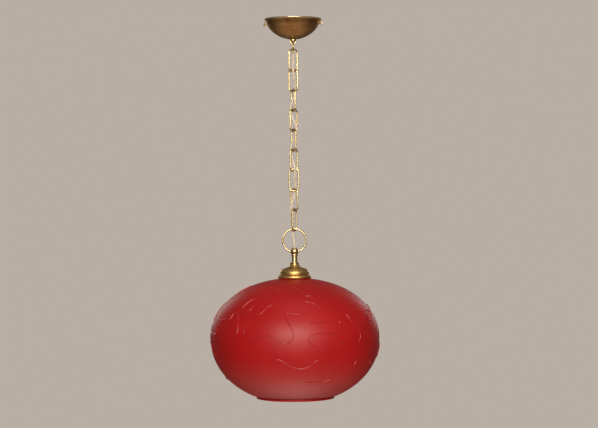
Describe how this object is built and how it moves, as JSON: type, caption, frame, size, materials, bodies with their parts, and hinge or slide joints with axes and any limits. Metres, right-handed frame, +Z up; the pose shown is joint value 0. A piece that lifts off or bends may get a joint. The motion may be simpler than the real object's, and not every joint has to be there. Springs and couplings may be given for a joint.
{
  "type": "pendant lamp",
  "caption": "Ceiling pendant lamp: a domed canopy, a long-link chain with clear flex woven through it, a hanging ring and a squashed red glass globe open at the bottom.",
  "frame": {"origin": "centre of the ceiling face, on the top of the fixing strap", "axes": "+Z up to the ceiling, +X to the right and -Y towards the viewer of the lamp's front"},
  "size_m": [0.3, 0.3, 0.674],
  "materials": {
    "zinc_steel": "zinc plated",
    "aged_brass": "aged, lacquered",
    "bright_brass": "polished",
    "antique_brass": "satin, antiqued",
    "clear_flex": "clear sheath",
    "brown_core": "gloss",
    "blue_core": "gloss",
    "green_core": "gloss",
    "red_glass": "satin with raised threads",
    "clear_glass": "clear",
    "black_plastic": "satin",
    "ceramic": "glazed ceramic",
    "rubber": "matt"
  },
  "bodies": {
    "canopy": {"ceiling_strap": "zinc_steel", "canopy_bowl": "aged_brass", "canopy_side_screws": "bright_brass", "hang_loop": "bright_brass", "loop_washer": "zinc_steel", "loop_locknut": "zinc_steel", "terminal_block": "ceramic", "terminal_screws": "bright_brass", "earth_screw": "bright_brass", "earth_lug": "zinc_steel", "cord_grip": "bright_brass", "cord_grip_nut": "black_plastic", "core_live": "brown_core", "core_neutral": "blue_core", "core_earth": "green_core", "flex_01": "clear_flex"},
    "jump_ring": {"jump_ring": "bright_brass", "flex_02": "clear_flex"},
    "link_1": {"link_1": "bright_brass", "flex_03": "clear_flex"},
    "link_2": {"link_2": "bright_brass", "flex_04": "clear_flex"},
    "link_3": {"link_3": "bright_brass", "flex_05": "clear_flex"},
    "link_4": {"link_4": "bright_brass", "flex_06": "clear_flex"},
    "link_5": {"link_5": "bright_brass", "flex_07": "clear_flex"},
    "link_6": {"link_6": "bright_brass", "flex_08": "clear_flex"},
    "link_7": {"link_7": "bright_brass", "flex_09": "clear_flex"},
    "link_8": {"link_8": "bright_brass", "flex_10": "clear_flex"},
    "link_9": {"link_9": "bright_brass", "flex_11": "clear_flex"},
    "suspension_ring": {"suspension_ring": "bright_brass"},
    "lamp": {"swivel_ball": "bright_brass", "stem_tube": "bright_brass", "stem_flange": "bright_brass", "glass_cap": "antique_brass", "cap_gasket": "rubber", "glass_globe": "red_glass", "plate_gasket": "rubber", "retaining_plate": "zinc_steel", "stem_locknut": "zinc_steel", "holder_cap": "black_plastic", "holder_body": "black_plastic", "holder_insert": "ceramic", "holder_shell": "bright_brass", "holder_contact": "bright_brass", "holder_screws": "bright_brass", "holder_cores": "blue_core", "flex_12": "clear_flex"},
    "bulb": {"bulb_glass": "clear_glass", "bulb_screw_cap": "zinc_steel", "bulb_insulator": "black_plastic", "bulb_contact": "bright_brass", "bulb_filament": "clear_glass"}
  },
  "joints": [
    {"name": "jump_ring_swing", "type": "hinge", "parent": "canopy", "child": "jump_ring", "pos_m": [0, 0, -0.0454], "axis": [1, 0, 0], "range_deg": [-15, 15], "deforming": ["flex_01"]},
    {"name": "link_1_swing", "type": "hinge", "parent": "jump_ring", "child": "link_1", "pos_m": [0, 0, -0.0579], "axis": [0, 1, 0], "range_deg": [-20, 20], "deforming": ["flex_02"]},
    {"name": "link_2_swing", "type": "hinge", "parent": "link_1", "child": "link_2", "pos_m": [0, 0, -0.0933], "axis": [-0.8988, -0.4384, 0], "range_deg": [-20, 20], "deforming": ["flex_03"]},
    {"name": "link_3_swing", "type": "hinge", "parent": "link_2", "child": "link_3", "pos_m": [0, 0, -0.1287], "axis": [0.9272, -0.3746, 0], "range_deg": [-20, 20], "deforming": ["flex_04"]},
    {"name": "link_4_swing", "type": "hinge", "parent": "link_3", "child": "link_4", "pos_m": [0, 0, -0.1641], "axis": [-0.3746, 0.9272, 0], "range_deg": [-20, 20], "deforming": ["flex_05"]},
    {"name": "link_5_swing", "type": "hinge", "parent": "link_4", "child": "link_5", "pos_m": [0, 0, -0.1995], "axis": [-0.766, -0.6428, 0], "range_deg": [-20, 20], "deforming": ["flex_06"]},
    {"name": "link_6_swing", "type": "hinge", "parent": "link_5", "child": "link_6", "pos_m": [0, 0, -0.2349], "axis": [0.4695, -0.8829, 0], "range_deg": [-20, 20], "deforming": ["flex_07"]},
    {"name": "link_7_swing", "type": "hinge", "parent": "link_6", "child": "link_7", "pos_m": [0, 0, -0.2703], "axis": [0.766, 0.6428, 0], "range_deg": [-20, 20], "deforming": ["flex_08"]},
    {"name": "link_8_swing", "type": "hinge", "parent": "link_7", "child": "link_8", "pos_m": [0, 0, -0.3057], "axis": [-0.9994, 0.0349, 0], "range_deg": [-20, 20], "deforming": ["flex_09"]},
    {"name": "link_9_swing", "type": "hinge", "parent": "link_8", "child": "link_9", "pos_m": [0, 0, -0.3411], "axis": [0.7071, -0.7071, 0], "range_deg": [-20, 20], "deforming": ["flex_10"]},
    {"name": "suspension_ring_swing", "type": "hinge", "parent": "link_9", "child": "suspension_ring", "pos_m": [0, 0, -0.3765], "axis": [0.4384, 0.8988, 0], "range_deg": [-20, 20], "deforming": ["flex_11"]},
    {"name": "lamp_swing", "type": "hinge", "parent": "suspension_ring", "child": "lamp", "pos_m": [0, 0, -0.4133], "axis": [1, 0, 0], "range_deg": [-25, 25], "deforming": ["flex_12"]},
    {"name": "bulb_unscrew", "type": "slide", "parent": "lamp", "child": "bulb", "axis": [0, 0, -1], "range_m": [0, 0.03]}
  ]
}
